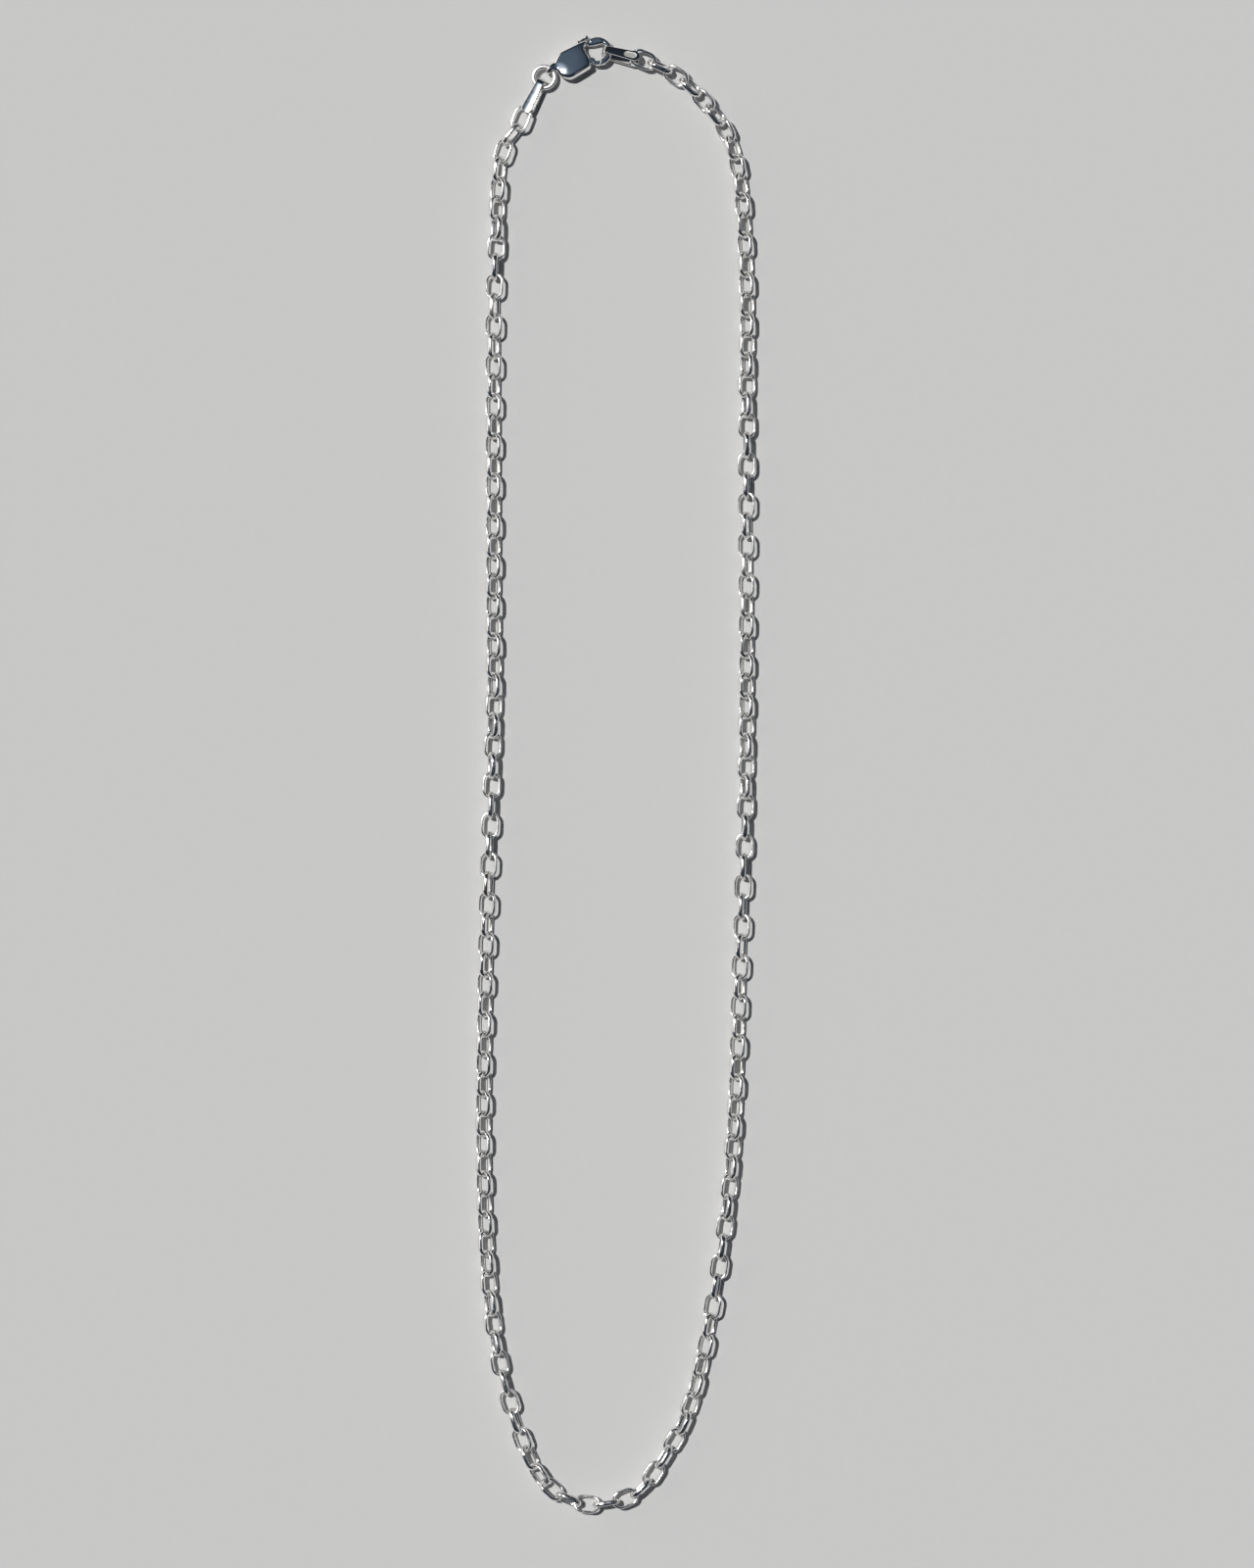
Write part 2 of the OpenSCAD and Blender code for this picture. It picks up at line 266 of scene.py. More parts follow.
def silver(name, rough, dents, hairlines, varied=0.0, bright=BRIGHT):
    """Silver with a range of roughness. Dents and hairlines are in thousandths of a millimetre, and
    varied says how far the polish differs between pieces that carry their own value of it."""
    metal = bpy.data.materials.new(name)
    metal.use_nodes = True
    tree = metal.node_tree
    face = tree.nodes["Principled BSDF"]
    face.inputs["Metallic"].default_value = 1
    where = own_place(tree)
    blotch = between(tree, noise(tree, where, BLOTCHES, 3), 0, 1, 0.42, 0.75)
    tree.links.new(mix_colours(tree, bright, DULL, blotch), face.inputs["Base Color"])
    matt = between(tree, noise(tree, where, MATT_SPOTS, 4), *rough)
    if varied:
        matt = vary(tree, matt, varied)
    tree.links.new(matt, face.inputs["Roughness"])
    soft = uneven(tree, noise(tree, where, DENTS), dents)
    scratches = noise(tree, where, HAIRS, 1, HAIR_STRETCH, HAIR_TURN)
    tree.links.new(uneven(tree, scratches, hairlines, soft), face.inputs["Normal"])
    return metal


link_silver = silver("tumbled silver", rough=(0.12, 0.28), dents=4, hairlines=0.4, varied=0.35)
clasp_silver = silver("polished silver", rough=(0.025, 0.04), dents=0.3, hairlines=0.25)
tag_silver = silver("worn polished silver", rough=(0.05, 0.09), dents=0.6, hairlines=0.35)
ring_silver = silver("drawn silver wire", rough=(0.3, 0.45), dents=2, hairlines=0.5)
stamp_silver = silver("stamped silver", rough=(0.5, 0.62), dents=9, hairlines=0, bright=FROSTED)
print("finishes:", [m.name for m in (link_silver, clasp_silver, tag_silver, ring_silver, stamp_silver)])

# %% [markdown]
# ## Where the links lie
# Each link is a loose solid in the CAD model. It could be placed again from a table, but its place is
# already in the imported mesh. The triangles that share corners form one link. Its centre and the
# three axes along which its metal spreads most, less and least give its length, width and band.

# %% Split the chain's solids
SAME_POINT = 1e6


def loose_links(node):
    """Splits a CAD node's triangles into its loose solids, as arrays of triangle corners."""
    mesh = node.data
    mesh.calc_loop_triangles()
    corners = np.empty(len(mesh.vertices) * 3, np.float64)
    mesh.vertices.foreach_get("co", corners)
    corners = corners.reshape(-1, 3)
    tris = np.empty(len(mesh.loop_triangles) * 3, np.int32)
    mesh.loop_triangles.foreach_get("vertices", tris)
    rounded = np.round(corners * SAME_POINT).astype(np.int64)
    key, same = np.unique(rounded, axis=0, return_inverse=True)
    tris = same.reshape(-1)[tris].reshape(-1, 3)
    label = np.arange(len(key))
    while True:
        before = label.copy()
        low = label[tris].min(axis=1)
        for corner in range(3):
            np.minimum.at(label, tris[:, corner], low)
        label = label[label]
        if (label == before).all():
            break
    points = key / SAME_POINT
    owner = label[tris[:, 0]]
    return [points[tris[owner == one]] for one in np.unique(owner)]


solids = {side: loose_links(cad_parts["chain_" + side]) for side in ("left", "right")}
print("loose solids:", {side: len(found) for side, found in solids.items()})


# %% Read the links' places
def place_of(tris):
    """Centre of a closed solid, and its axes from the longest to the shortest spread."""
    a, b, c = tris[:, 0], tris[:, 1], tris[:, 2]
    origin = tris.reshape(-1, 3).mean(axis=0)
    a, b, c = a - origin, b - origin, c - origin
    six_volume = np.einsum("ij,ij->i", a, np.cross(b, c))
    centre = ((a + b + c) / 4 * six_volume[:, None]).sum(axis=0) / six_volume.sum()
    a, b, c = a - centre, b - centre, c - centre
    spread = sum(np.einsum("i,ij,ik->jk", six_volume, v, v) for v in (a, b, c, a + b + c))
    size, axes = np.linalg.eigh(spread / (20 * six_volume.sum()))
    length, width = axes[:, 2], axes[:, 1]
    return origin + centre, np.column_stack([length, width, np.cross(length, width)])


places = {side: [place_of(one) for one in found] for side, found in solids.items()}
print("links read:", {side: len(found) for side, found in places.items()})

# %% [markdown]
# ## One link and the chain
# A link is a flat band of silver, bent to an oval and soldered. The band's outer face is crowned, its
# edges are rounded by tumbling. Modelling one and copying it 149 times by hand would be dull and
# hard to change. Geometry Nodes sweep the band's section along the oval, set one on each place,
# turn it, give it its own polish, and turn the copies into real faces at the end.

# %% Link path and band section
LINK_LENGTH = 4.36
LINK_WIDTH = 2.95
BAND = 0.42
BAND_HALF = 0.425
END_STEPS = 10
HALF_SECTION = [(0.225, 0.0), (0.18, 0.28), (0.01, 0.44), (-0.18, 0.32), (-0.21, 0.0)]


def closed_curve(name, points):
    """A closed curve through flat points, in millimetres."""
    data = bpy.data.curves.new(name, "CURVE")
    data.dimensions = "3D"
    line = data.splines.new("POLY")
    line.points.add(len(points) - 1)
    for point, (x, y) in zip(line.points, points):
        point.co = (x * MM, y * MM, 0, 1)
    line.use_cyclic_u = True
    return add_object(name, data)


bend_r = (LINK_WIDTH - BAND) / 2
bend_x = (LINK_LENGTH - LINK_WIDTH) / 2
oval = []
for end in (1, -1):
    for step in range(END_STEPS + 1):
        turn = math.pi * (step / END_STEPS - 0.5)
        oval.append((end * (bend_x + bend_r * math.cos(turn)), end * bend_r * math.sin(turn)))
section = HALF_SECTION + [(x, -y) for x, y in HALF_SECTION[-2:0:-1]]
link_path = closed_curve("link_path", oval)
band_section = closed_curve("band_section", section)
print("a link has", len(oval) * len(section), "faces")

# %% Inputs of the tree that lays the links
LINK_SIZE = 1.0
POLISH_SEED = 4

lay = bpy.data.node_groups.new("lay the links", "GeometryNodeTree")
lay_inputs = {
    name: lay.interface.new_socket(name, in_out="INPUT", socket_type="NodeSocket" + kind)
    for name, kind in (
        ("Places", "Geometry"),
        ("Link path", "Object"),
        ("Band section", "Object"),
        ("Link size", "Float"),
        ("Polish seed", "Int"),
        ("Silver", "Material"),
    )
}
lay_inputs["Link size"].default_value = LINK_SIZE
lay_inputs["Polish seed"].default_value = POLISH_SEED
lay_inputs = {name: made.identifier for name, made in lay_inputs.items()}
lay.interface.new_socket("Chain", in_out="OUTPUT", socket_type="NodeSocketGeometry")
print("tree inputs:", list(lay_inputs))

# %% Nodes of the tree that lays the links
start = lay.nodes.new("NodeGroupInput")
path_in = lay.nodes.new("GeometryNodeObjectInfo")
section_in = lay.nodes.new("GeometryNodeObjectInfo")
sweep = lay.nodes.new("GeometryNodeCurveToMesh")
smooth = lay.nodes.new("GeometryNodeSetShadeSmooth")
turn_in = lay.nodes.new("GeometryNodeInputNamedAttribute")
turn_in.data_type = "FLOAT_VECTOR"
turn_in.inputs["Name"].default_value = "turn"
to_turn = lay.nodes.new("FunctionNodeEulerToRotation")
set_out = lay.nodes.new("GeometryNodeInstanceOnPoints")
chance = lay.nodes.new("FunctionNodeRandomValue")
chance.data_type = "FLOAT"
store = lay.nodes.new("GeometryNodeStoreNamedAttribute")
store.data_type = "FLOAT"
store.domain = "INSTANCE"
store.inputs["Name"].default_value = "polish"
real = lay.nodes.new("GeometryNodeRealizeInstances")
paint = lay.nodes.new("GeometryNodeSetMaterial")
end = lay.nodes.new("NodeGroupOutput")
print("nodes:", len(lay.nodes))

# %% Wires of the tree that lays the links
wire = lay.links.new
wire(start.outputs["Link path"], path_in.inputs["Object"])
wire(start.outputs["Band section"], section_in.inputs["Object"])
wire(path_in.outputs["Geometry"], sweep.inputs["Curve"])
wire(section_in.outputs["Geometry"], sweep.inputs["Profile Curve"])
wire(sweep.outputs["Mesh"], smooth.inputs["Geometry"])
wire(smooth.outputs["Geometry"], set_out.inputs["Instance"])
wire(start.outputs["Places"], set_out.inputs["Points"])
wire(turn_in.outputs["Attribute"], to_turn.inputs[0])
wire(to_turn.outputs[0], set_out.inputs["Rotation"])
wire(start.outputs["Link size"], set_out.inputs["Scale"])
wire(start.outputs["Polish seed"], chance.inputs["Seed"])
wire(set_out.outputs["Instances"], store.inputs["Geometry"])
wire(chance.outputs[1], store.inputs["Value"])
wire(store.outputs["Geometry"], real.inputs["Geometry"])
wire(real.outputs["Geometry"], paint.inputs["Geometry"])
wire(start.outputs["Silver"], paint.inputs["Material"])
wire(paint.outputs["Geometry"], end.inputs[0])
print("wires:", len(lay.links))


# %% Lay both halves of the chain
def volume_of(mesh):
    """Volume inside a closed mesh in cubic millimetres; it is negative if its faces point inwards."""
    mesh.calc_loop_triangles()
    points = np.array([v.co for v in mesh.vertices], float) / MM
    tris = points[np.array([t.vertices for t in mesh.loop_triangles])]
    tris = tris - points.mean(axis=0)
    return float(np.einsum("ij,ij->i", tris[:, 0], np.cross(tris[:, 1], tris[:, 2])).sum() / 6)


def lay_links(name, found, node):
    """One plain mesh with a link on each place."""
    points = bpy.data.meshes.new(name)
    points.from_pydata([tuple(centre) for centre, axes in found], [], [])
    turns = points.attributes.new("turn", "FLOAT_VECTOR", "POINT")
    angles = [Matrix(axes.tolist()).to_euler() for centre, axes in found]
    turns.data.foreach_set("vector", [v for angle in angles for v in angle])
    rig = add_object(name + "_places", points)
    modifier = rig.modifiers.new("links", "NODES")
    modifier.node_group = lay
    modifier[lay_inputs["Link path"]] = link_path
    modifier[lay_inputs["Band section"]] = band_section
    modifier[lay_inputs["Link size"]] = LINK_SIZE
    modifier[lay_inputs["Polish seed"]] = POLISH_SEED
    modifier[lay_inputs["Silver"]] = link_silver
    graph = bpy.context.evaluated_depsgraph_get()
    laid = rig.evaluated_get(graph)
    mesh = bpy.data.meshes.new_from_object(laid, preserve_all_data_layers=True, depsgraph=graph)
    bpy.data.objects.remove(rig)
    mesh.name = name
    if volume_of(mesh) < 0:
        mesh.flip_normals()
    piece = add_object(name, mesh)
    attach(piece, "necklace")
    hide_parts(node)
    each = volume_of(mesh) / len(found)
    print("%s: %d links, %d faces, %.2f mm3 a link" % (name, len(found), len(mesh.polygons), each))


lay_links("links_left", places["left"], "chain_left")
lay_links("links_right", places["right"], "chain_right")
for helper in (link_path, band_section):
    bpy.data.objects.remove(helper)

# %% [markdown]
# ## Casting small parts from a field
# The clasp and the tags are cast or soldered metal: every inner corner is a soft fillet and every
# edge is rounded by polishing. Booleans and bevels struggle with that many small curves. Instead each
# part is written as a field, a function that tells how far a point is outside the metal. Fields are
# joined and cut with a soft radius, and a skin is then drawn where the field is zero.


# %% Field tools
def disc(x, y, centre, r):
    """Distance to a disc."""
    return np.hypot(x - centre[0], y - centre[1]) - r


def taper(x, y, a, ra, b, rb):
    """Distance to a flat bar with two round ends of their own radii."""
    ax, ay = b[0] - a[0], b[1] - a[1]
    long = math.hypot(ax, ay)
    ux, uy = ax / long, ay / long
    along = (x - a[0]) * ux + (y - a[1]) * uy
    side = np.abs((y - a[1]) * ux - (x - a[0]) * uy)
    lean = (ra - rb) / long
    rise = math.sqrt(1 - lean * lean)
    which = along * rise - side * lean
    near = np.hypot(side, along) - ra
    far = np.hypot(side, along - long) - rb
    flank = side * rise + along * lean - ra
    return np.where(which < 0, near, np.where(which > rise * long, far, flank))


def join(a, b, soft):
    """Both metals, with a fillet between them."""
    mix = np.clip(0.5 + 0.5 * (b - a) / soft, 0, 1)
    return b * (1 - mix) + a * mix - soft * mix * (1 - mix)


def common(a, b, soft):
    """What both metals share, with a rounded edge."""
    return -join(-a, -b, soft)


def cut(a, b, soft):
    """The first metal without the second, with a rounded edge."""
    return -join(-a, b, soft)


print("two discs joined softly meet at", round(float(join(np.array(0.1), np.array(0.1), 0.2)), 3))

# %% [markdown]
# ## Skin of a field
# The field is sampled on a grid of small cubes. Each cube that the surface passes through gets one
# corner of the skin, and each grid edge that crosses the surface gets one face between the four cubes
# round it. The corners then slide along the field's slope until they lie on the surface. Boolean tools
# could cut the same parts, but they leave no fillets.

# %% Corners of the skin
CUBE = np.array([(i, j, k) for i in (0, 1) for j in (0, 1) for k in (0, 1)])
CUBE_EDGES = [
    (a, b)
    for a in range(len(CUBE)) for b in range(a + 1, len(CUBE))
    if np.abs(CUBE[a] - CUBE[b]).sum() == 1
]


def skin_points(value, low, step):
    """A corner in each cube that the surface passes through, and the numbers of those cubes."""
    inside = value < 0
    last = np.array(value.shape) - 1
    count = sum(inside[i:i + last[0], j:j + last[1], k:k + last[2]].astype(np.int8) for i, j, k in CUBE)
    cells = np.argwhere((count > 0) & (count < len(CUBE)))
    number = np.full(value.shape, -1)
    number[tuple(cells.T)] = np.arange(len(cells))
    total = np.zeros((len(cells), 3))
    hits = np.zeros(len(cells))
    for a, b in CUBE_EDGES:
        va = value[tuple((cells + CUBE[a]).T)]
        vb = value[tuple((cells + CUBE[b]).T)]
        crossed = (va < 0) != (vb < 0)
        share = np.where(crossed, va / np.where(crossed, va - vb, 1), 0)
        total += np.where(crossed[:, None], CUBE[a] + share[:, None] * (CUBE[b] - CUBE[a]), 0)
        hits += crossed
    return np.array(low) + step * (cells + total / hits[:, None]), number


print("a cube has", len(CUBE_EDGES), "edges")

# %% Faces of the skin
SLOPE_REACH = 0.004
SETTLE_ROUNDS = 4
LEAST_SLOPE = 0.05


def skin_faces(inside, number):
    """A face round each grid edge that crosses the surface, turned so that it points outwards."""
    last = np.array(inside.shape) - 1
    faces = []
    for axis in range(3):
        u, v = (axis + 1) % 3, (axis + 2) % 3
        edges = np.argwhere(inside != np.roll(inside, -1, axis))
        edges = edges[(edges[:, axis] < last[axis]) & (edges[:, u] > 0) & (edges[:, v] > 0)]
        ring = []
        for back_u, back_v in ((1, 1), (0, 1), (0, 0), (1, 0)):
            cell = edges.copy()
            cell[:, u] -= back_u
            cell[:, v] -= back_v
            ring.append(number[tuple(cell.T)])
        ring = np.column_stack(ring)
        outwards = inside[tuple(edges.T)]
        faces.append(np.where(outwards[:, None], ring, ring[:, ::-1]))
    return np.concatenate(faces)


def slope(field, points):
    """How the field changes along each axis."""
    return np.column_stack([
        (field(points + SLOPE_REACH * axis) - field(points - SLOPE_REACH * axis)) / (2 * SLOPE_REACH)
        for axis in np.eye(3)
    ])


def skin(field, low, high, step):
    """Corners and faces of the surface where the field is zero, in the field's own millimetres."""
    lines = [np.arange(a, b + step, step) for a, b in zip(low, high)]
    grid = np.stack(np.meshgrid(*lines, indexing="ij"), axis=-1)
    value = field(grid.reshape(-1, 3)).reshape(grid.shape[:3])
    points, number = skin_points(value, low, step)
    for again in range(SETTLE_ROUNDS):
        grade = slope(field, points)
        size = np.maximum((grade * grade).sum(axis=1), LEAST_SLOPE)
        move = grade * (field(points) / size)[:, None]
        points = points - np.clip(move, -step / 2, step / 2)
    return points, skin_faces(value < 0, number)


def trial_ball(points):
    """A ball of 1 mm radius, to try the skin on."""
    return np.linalg.norm(points, axis=1) - 1


ball_points, ball_faces = skin(trial_ball, (-1.3, -1.3, -1.3), (1.3, 1.3, 1.3), 0.2)
print("trial ball: %d faces, up to %.6f mm off" % (len(ball_faces), np.abs(trial_ball(ball_points)).max()))


# %% Place and cast a piece
def frame_at(x, y, z, turn, roll):
    """Origin and axes of a piece that is turned in the plane and rolled about its length."""
    axes = Matrix.Rotation(math.radians(turn), 3, "Z") @ Matrix.Rotation(math.radians(roll), 3, "X")
    return np.array((x, y, z)), np.array(axes)


def cast(name, field, box, step, place, body, node, metal, accents=()):
    """A piece of its own from a field in the piece's own axes. Each accent is a metal and its field."""
    points, faces = skin(field, *box, step)
    origin, axes = place
    mesh = bpy.data.meshes.new(name)
    mesh.from_pydata(((points @ axes.T + origin) * MM).tolist(), [], faces.tolist())
    mesh.validate()
    mesh.shade_smooth()
    mesh.materials.append(metal)
    slots = np.zeros(len(faces), np.int32)
    for slot, (other_metal, part) in enumerate(accents, 1):
        mesh.materials.append(other_metal)
        slots[part(points[faces].mean(axis=1)) < 0] = slot
    mesh.polygons.foreach_set("material_index", slots)
    piece = add_object(name, mesh)
    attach(piece, body)
    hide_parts(node)
    print("%s: %d faces, %.1f mm3" % (name, len(mesh.polygons), volume_of(mesh)))


# %% [markdown]
# ## Clasp body
# A lobster clasp is cast in one piece: two domed cheeks round a hollow, a hook that reaches on from
# them, and an eye at the tail. The outline is one tapered bar from the tail to the belly and on to
# the hook's bow, the dome is what two large balls share, and the mouth is a round bite.

# %% Where the clasp lies
CLASP_AT = (-10.33, 112.8, 1.39)
CLASP_TURN = 21.6
CLASP_ROLL = -12
RING_AT = (-11.38, 111.5, 1.3)
RING_R = 1.7
WIRE = 0.8

clasp_place = frame_at(*CLASP_AT, CLASP_TURN, CLASP_ROLL)
ring_side = math.atan2(CLASP_AT[1] - RING_AT[1], CLASP_AT[0] - RING_AT[0])
print("the ring's wire passes the tail at %.0f degrees" % math.degrees(ring_side))

# %% Cheeks and hollow
TAIL, TAIL_R = (0.85, 0.05), 0.5
BELLY, BELLY_R = (3.05, -0.5), 2.35
BOW, BOW_R = (8, -0.12), 2.4
MOUTH_X = (6.4, 6.8, 7.2, 7.7, 8.4, 9.3)
MOUTH_TOP = (1.5, 1.28, 1.1, 0.95, 0.84, 0.72)
LIP_AT = 6.2
LIP_BULGE, BULGE_Y, BULGE_WIDTH = 0.17, 0.6, 0.75
LIP_SWEEP, SWEEP_Y = 1.08, 0.8
CHEEK_END = 6.95
BELLY_CUT, BELLY_CUT_LEAN = (2.9, 2.85), 0.2
DOME_AT, DOME_R = (4.5, 0.4), 22
CHEEK_HALF, CHEEK_RIM = 1.1, 0.5
HOLLOW_BACK, HOLLOW_FRONT, HOLLOW_R = (3.2, -0.5), (5.4, -0.2), 1.7
ARM_SLOT_X, ARM_SLOT_Y = (4.3, 6.25), (1, 3)
HOLLOW_HALF = 0.55


def mouth_top(x):
    """The mouth's upper edge, the underside of the bar that leads to the hook."""
    return np.interp(x, MOUTH_X, MOUTH_TOP)


def cheeks(x, y, z):
    """Both domed cheeks as one lump, with the bite of the mouth."""
    plan = join(taper(x, y, TAIL, TAIL_R, BELLY, BELLY_R), taper(x, y, BELLY, BELLY_R, BOW, BOW_R), 0.1)
    bulge = LIP_BULGE * np.exp(-((y + BULGE_Y) / BULGE_WIDTH) ** 2)
    lip = LIP_AT + bulge + LIP_SWEEP * np.maximum(y - SWEEP_Y, 0) ** 2
    plan = cut(plan, np.maximum(lip - x, y - mouth_top(x)), 0.15)
    plan = common(plan, x - CHEEK_END, 0.4)
    plan = common(plan, BELLY_CUT_LEAN * (x - BELLY_CUT[0]) - BELLY_CUT[1] - y, 0.3)
    drop = DOME_R - np.sqrt(DOME_R ** 2 - (x - DOME_AT[0]) ** 2 - (y - DOME_AT[1]) ** 2)
    return common(plan, np.abs(z) - CHEEK_HALF + drop, CHEEK_RIM)


def hollow(x, y, z):
    """The room for the lever between the cheeks, and the slot through which its arm comes out."""
    slot_x = np.maximum(ARM_SLOT_X[0] - x, x - ARM_SLOT_X[1])
    slot_y = np.maximum(ARM_SLOT_Y[0] - y, y - ARM_SLOT_Y[1])
    room_for_lever = taper(x, y, HOLLOW_BACK, HOLLOW_R, HOLLOW_FRONT, HOLLOW_R)
    plan = np.minimum(room_for_lever, np.maximum(slot_x, slot_y))
    return common(plan, np.abs(z) - HOLLOW_HALF, 0.1)


print("cheeks %.1f mm wide and %.1f mm thick" % (2 * BELLY_R, 2 * CHEEK_HALF))

# %% Hook and tail eye
HOOK_MIDDLE, HOOK_FLAT, HOOK_ROUND = 1.925, 0.1, 0.375
HOOK_FACES, HOOK_REACH = 2.5, 102.5
WEB_AT, WEB_HALF = 7.95, 1.55
PIVOT = (4.8, -0.6)
GATE_ROOM_R = 3.4
EYE_R, EYE_HOLE_R = 0.95, 0.56
OFF_METAL, IN_METAL = 0.3, -1.0


def hook(x, y, z):
    """The hook's round bar, the web under its start, and the end that leaves room for the gate."""
    out = np.hypot(x - BOW[0], y - BOW[1]) - HOOK_MIDDLE
    bar = np.hypot(np.maximum(np.abs(out) - HOOK_FLAT, 0), z) - HOOK_ROUND
    web = common(taper(x, y, BELLY, BELLY_R, BOW, BOW_R), mouth_top(x) - y, 0.1)
    web = np.maximum(web, np.abs(x - WEB_AT) - WEB_HALF)
    web = np.hypot(np.maximum(web + HOOK_ROUND, 0), z) - HOOK_ROUND
    angle = np.degrees(np.arctan2(y - BOW[1], x - BOW[0]))
    reach = np.where(np.abs(angle - HOOK_FACES) < HOOK_REACH, IN_METAL, OFF_METAL)
    bar = join(np.maximum(bar, reach), web, 0.12)
    gate_room = np.maximum(disc(x, y, PIVOT, GATE_ROOM_R), y - PIVOT[1])
    return cut(bar, gate_room, 0.08)


def tail_eye(world):
    """The tail's round end and the hole for the ring, both square to the ring's wire."""
    away = world - np.array([CLASP_AT[0], CLASP_AT[1], RING_AT[2]])
    along = -away[:, 0] * math.sin(ring_side) + away[:, 1] * math.cos(ring_side)
    across = away[:, 0] * math.cos(ring_side) + away[:, 1] * math.sin(ring_side)
    round_bar = np.hypot(across, away[:, 2])
    return common(round_bar - EYE_R, np.abs(along) - BAND_HALF, 0.35), round_bar - EYE_HOLE_R


def wire_round(world, extra):
    """The ring's wire, made thicker all round by some extra."""
    out = np.hypot(world[:, 0] - RING_AT[0], world[:, 1] - RING_AT[1]) - RING_R
    return np.hypot(out, world[:, 2] - RING_AT[2]) - WIRE / 2 - extra


print("hook's bar %.2f mm wide" % (2 * (HOOK_FLAT + HOOK_ROUND)))

# %% Clasp body
PIN_R, PIN_HALF = 0.35, 0.8
WIRE_ROOM = 0.1
CLASP_BOX = (-1.3, -3.1, -1.6), (10.7, 2.9, 1.6)
CLASP_STEP = 0.075


def clasp_body_field(points):
    """The whole clasp body, with its pin."""
    x, y, z = points.T
    world = points @ clasp_place[1].T + clasp_place[0]
    eye, eye_hole = tail_eye(world)
    body = cut(cheeks(x, y, z), hollow(x, y, z), 0.1)
    body = join(body, hook(x, y, z), 0.25)
    pin = np.maximum(disc(x, y, PIVOT, PIN_R), np.abs(z) - PIN_HALF)
    body = join(np.minimum(body, pin), eye, 0.5)
    body = cut(body, eye_hole, 0.1)
    return cut(body, wire_round(world, WIRE_ROOM), 0.06)


cast(
    "clasp_casting", clasp_body_field, CLASP_BOX, CLASP_STEP,
    clasp_place, "necklace", "clasp_body", clasp_silver,
)

# %% [markdown]
# ## Clasp lever
# Inside the cheeks a small lever turns on a pin. One arm is the gate that shuts the mouth, the other
# comes out through the spine and ends in a nib for the thumb. It is a flat casting with soft edges,
# and it rides on its own body, so it opens in the poses.

# %% Clasp lever
BOSS_R, PIN_HOLE_R = 0.8, 0.45
GATE_ARM_END, GATE_ARM_R = (6.75, -1.3), 0.42
THUMB_ARM_START, THUMB_ARM_R = (4.9, -0.3), 0.45
THUMB_ARM_END, THUMB_END_R = (5.75, 2.35), 0.28
GATE_OUT_R, GATE_IN_R, GATE_REACH = 2.33, 1.65, 3.28
GATE_FROM_X, GATE_BELOW_Y = 6.55, 1.0
NIB_AT, NIB_R = (7.2, 2.7), 0.36
NECK_POINT_R, NECK_R = 0.02, 0.22
LEVER_HALF, LEVER_EDGE = 0.44, 0.22
LEVER_BOX = (3.7, -2.7, -0.6), (8.5, 3.3, 0.6)
LEVER_STEP = 0.06


def lever_field(points):
    """The lever, shut: boss, gate and thumb arm in one plan, then the neck and the nib."""
    x, y, z = points.T
    arm = join(disc(x, y, PIVOT, BOSS_R), taper(x, y, PIVOT, BOSS_R, GATE_ARM_END, GATE_ARM_R), 0.1)
    arm = join(arm, taper(x, y, THUMB_ARM_START, THUMB_ARM_R, THUMB_ARM_END, THUMB_END_R), 0.15)
    gate = np.maximum(disc(x, y, BOW, GATE_OUT_R), -disc(x, y, BOW, GATE_IN_R))
    gate = np.maximum(gate, np.maximum(GATE_FROM_X - x, y + GATE_BELOW_Y))
    gate = np.maximum(gate, disc(x, y, PIVOT, GATE_REACH))
    plan = cut(join(arm, gate, 0.15), disc(x, y, PIVOT, PIN_HOLE_R), 0.05)
    flat = common(plan, np.abs(z) - LEVER_HALF, LEVER_EDGE)
    neck = np.hypot(taper(x, y, THUMB_ARM_END, NECK_POINT_R, NIB_AT, NECK_POINT_R), z) - NECK_R
    nib = np.sqrt((x - NIB_AT[0]) ** 2 + (y - NIB_AT[1]) ** 2 + z * z) - NIB_R
    return join(flat, join(neck, nib, 0.12), 0.15)


cast(
    "lever_casting", lever_field, LEVER_BOX, LEVER_STEP,
    clasp_place, "lever", "clasp_lever", clasp_silver,
)

# %% [markdown]
# ## End tags
# Each tag is a strip of sheet, folded over a ring or a hook so that its two round ends lie on each
# other, with the chain's end link soldered between them. The strip is a field round a bent middle
# line. The link is the same oval as in the chain, and a soft join stands for the solder.

# %% Strip and end link
TAG_FLAT = 5.1
FOLD_R = 0.9
SHEET = 0.3
TAG_END_R = 0.875
TAG_FOLD_HALF = 0.65
CROWN = 18


def strip(x, y, z):
    """The folded sheet, its fold's axis on Y at x = 0 and its round end towards +X."""
    across = np.where(x < 0, np.hypot(x, z), np.abs(z)) - FOLD_R + y * y / CROWN
    flank = taper(np.maximum(x, 0), y, (0, 0), TAG_FOLD_HALF, (TAG_FLAT - TAG_END_R, 0), TAG_END_R)
    return common(flank, np.abs(across) - SHEET / 2, 0.12)


def oval_link(points, centre, heading, roll):
    """A link of the chain at its own place."""
    origin, axes = frame_at(*centre, heading, roll)
    local = (points - origin) @ axes
    out = np.hypot(np.maximum(np.abs(local[:, 0]) - bend_x, 0), local[:, 1]) - bend_r
    return common(np.abs(out) - BAND / 2, np.abs(local[:, 2]) - BAND_HALF, 0.2)


print("a tag is %.1f mm long and %.1f mm thick" % (TAG_FLAT + FOLD_R + SHEET / 2, 2 * FOLD_R + SHEET))

# %% Stamp
STAMP_MIDDLE = 3.5
STAMP_HALF = 0.5
STAMP_R = 0.5
STAMP_BOTTOM = 0.95
FLOOR_LIFT, FLOOR_INSET = (0, 0, 0.03), 0.02


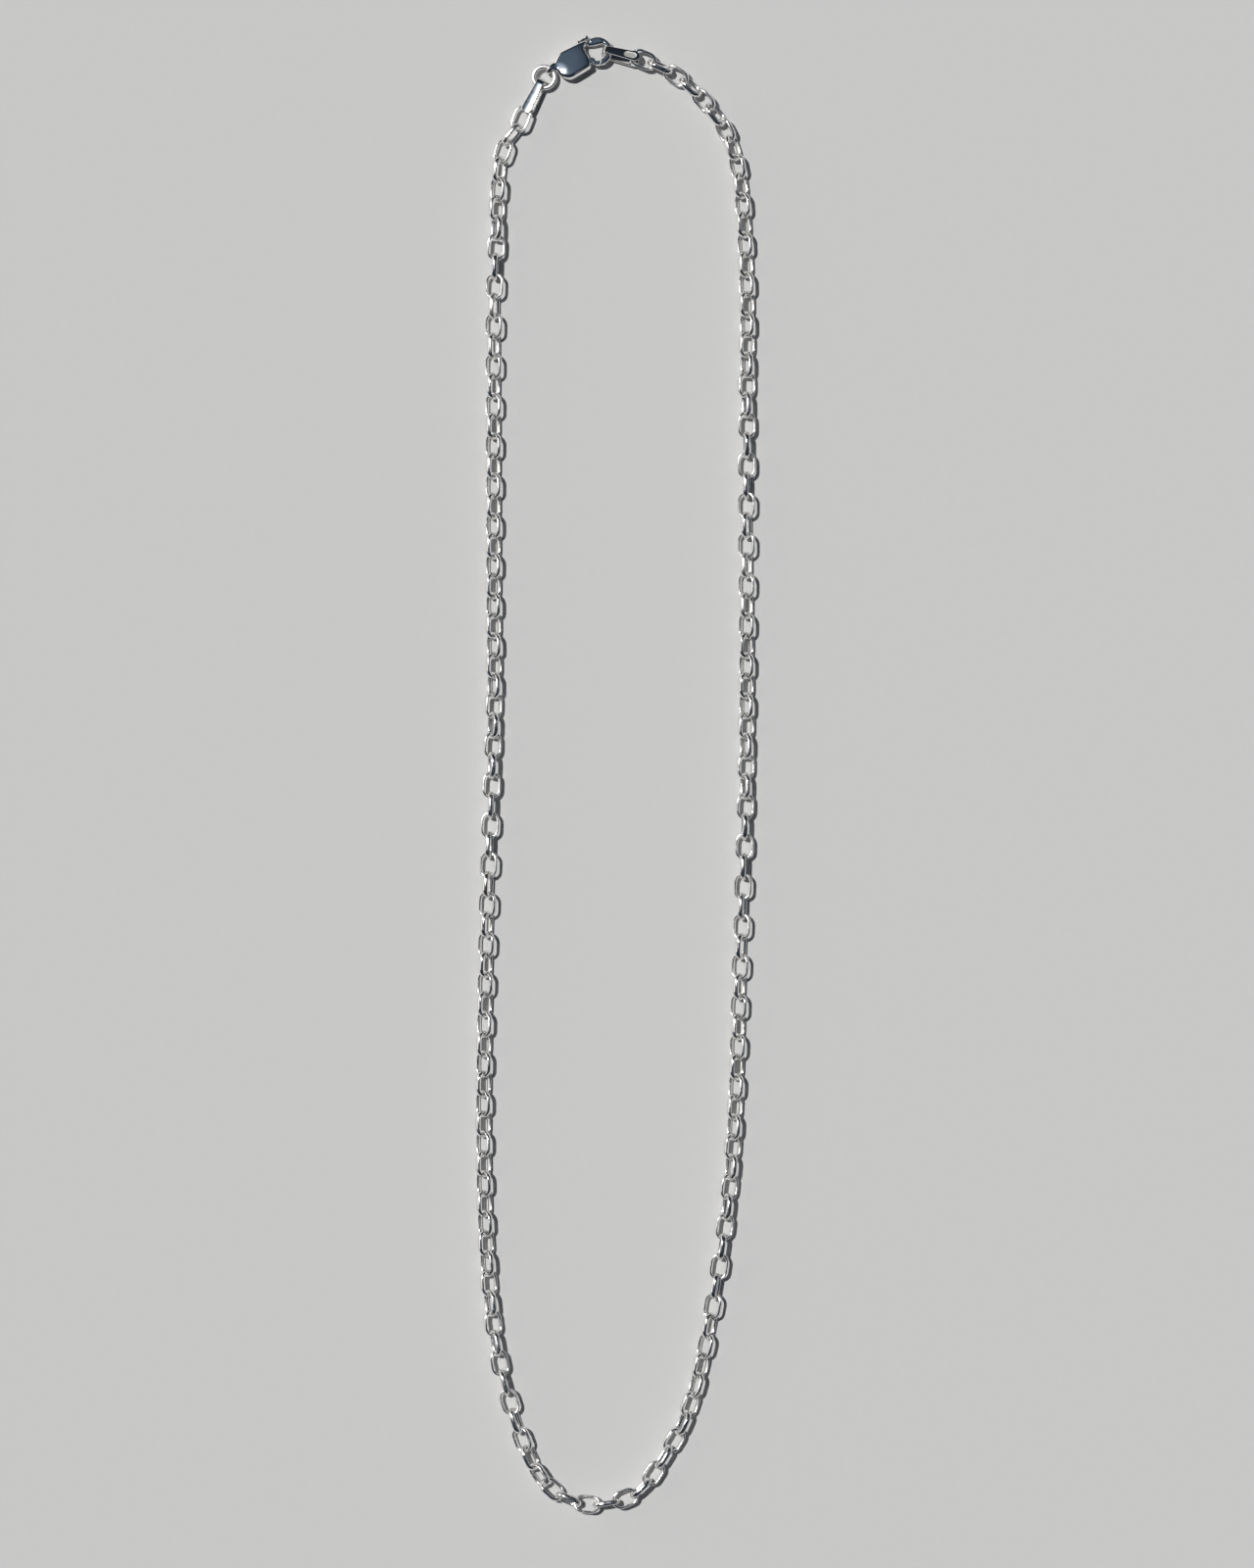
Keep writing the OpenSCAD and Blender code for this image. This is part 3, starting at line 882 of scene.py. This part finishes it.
def stamp_field(points):
    """The oval recess in the tag's upper face."""
    x, y, z = points.T
    ends = (STAMP_MIDDLE - STAMP_HALF, 0), (STAMP_MIDDLE + STAMP_HALF, 0)
    return np.maximum(taper(x + TAG_FLAT, y, ends[0], STAMP_R, ends[1], STAMP_R), STAMP_BOTTOM - z)


def stamp_floor(points):
    """The recess's floor alone, which keeps the punch's frosted finish."""
    return stamp_field(points + FLOOR_LIFT) + FLOOR_INSET


print("stamp %.1f mm long and %.1f mm wide" % (2 * (STAMP_HALF + STAMP_R), 2 * STAMP_R))

# %% End tags
TAG_LEFT_PLACE = frame_at(-14.33, 105.73, 1.3, -117, 14)
TAG_RIGHT_PLACE = frame_at(3.85, 114.2, 1.54, -13.5, -27)
FIRST_LINK = ((-15.04, 104.82, 1.566), -111.4, 15)
LAST_LINK = ((4.535, 114.31, 1.572), -22.0, 8.75)
SOLDER_FROM_LINK = 1.8
SOLDER_R, SOLDER_HALF = 0.35, 0.8
TAG_BOX = (-6.4, -2, -1.8), (3.5, 2, 1.8)
TAG_STEP = 0.065


def tag_field(place, link, stamped):
    """A tag with its soldered link, as a field in the tag's own axes."""
    def field(points):
        x, y, z = points.T
        world = points @ place[1].T + place[0]
        metal = strip(x + TAG_FLAT, y, z)
        if stamped:
            metal = cut(metal, stamp_field(points), 0.08)
        centre, heading, roll = link
        inner = np.array(centre) - SOLDER_FROM_LINK * frame_at(0, 0, 0, heading, roll)[1][:, 0]
        solder = disc(x, y, tuple(((inner - place[0]) @ place[1])[:2]), SOLDER_R)
        solder = np.maximum(solder, np.abs(z) - SOLDER_HALF)
        return join(metal, join(oval_link(world, *link), solder, 0.2), 0.15)
    return field


def link_part(place, link):
    """Less than zero where a tag's surface belongs to its link, which has the chain's finish."""
    def field(points):
        x, y, z = points.T
        return oval_link(points @ place[1].T + place[0], *link) - strip(x + TAG_FLAT, y, z)
    return field


cast(
    "tag_strip_left", tag_field(TAG_LEFT_PLACE, FIRST_LINK, False), TAG_BOX, TAG_STEP,
    TAG_LEFT_PLACE, "necklace", "end_tag_left", tag_silver,
    [(link_silver, link_part(TAG_LEFT_PLACE, FIRST_LINK))],
)
cast(
    "tag_strip_right", tag_field(TAG_RIGHT_PLACE, LAST_LINK, True), TAG_BOX, TAG_STEP,
    TAG_RIGHT_PLACE, "necklace", "end_tag_right", tag_silver,
    [(link_silver, link_part(TAG_RIGHT_PLACE, LAST_LINK)), (stamp_silver, stamp_floor)],
)

# %% [markdown]
# ## Jump ring
# The ring is a turn of drawn wire whose ends meet in a soldered seam. Swept round a circle, it
# can have what a plain torus lacks: a wire that is a hair thicker at the seam.

# %% Jump ring
ROUND = 120
WIRE_SIDES = 28
SEAM = math.radians(200)
SEAM_WIDTH = 0.12
SEAM_SWELL = 0.015

ring_points = []
for i in range(ROUND):
    around = 2 * math.pi * i / ROUND
    from_seam = math.remainder(around - SEAM, 2 * math.pi)
    wire_r = WIRE / 2 * (1 - SEAM_SWELL + SEAM_SWELL * math.exp(-(from_seam / SEAM_WIDTH) ** 2))
    for j in range(WIRE_SIDES):
        side = 2 * math.pi * j / WIRE_SIDES
        out = RING_R + wire_r * math.cos(side)
        ring_points.append((
            (RING_AT[0] + out * math.cos(around)) * MM,
            (RING_AT[1] + out * math.sin(around)) * MM,
            (RING_AT[2] + wire_r * math.sin(side)) * MM,
        ))
ring_faces = [
    (i * WIRE_SIDES + j, (i + 1) % ROUND * WIRE_SIDES + j,
     (i + 1) % ROUND * WIRE_SIDES + (j + 1) % WIRE_SIDES, i * WIRE_SIDES + (j + 1) % WIRE_SIDES)
    for i in range(ROUND) for j in range(WIRE_SIDES)
]
ring_mesh = bpy.data.meshes.new("wire_ring")
ring_mesh.from_pydata(ring_points, [], ring_faces)
ring_mesh.shade_smooth()
if volume_of(ring_mesh) < 0:
    ring_mesh.flip_normals()
ring_mesh.materials.append(ring_silver)
wire_ring = add_object("wire_ring", ring_mesh)
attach(wire_ring, "necklace")
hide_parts("jump_ring")
print("wire_ring: %.1f mm3" % volume_of(ring_mesh))
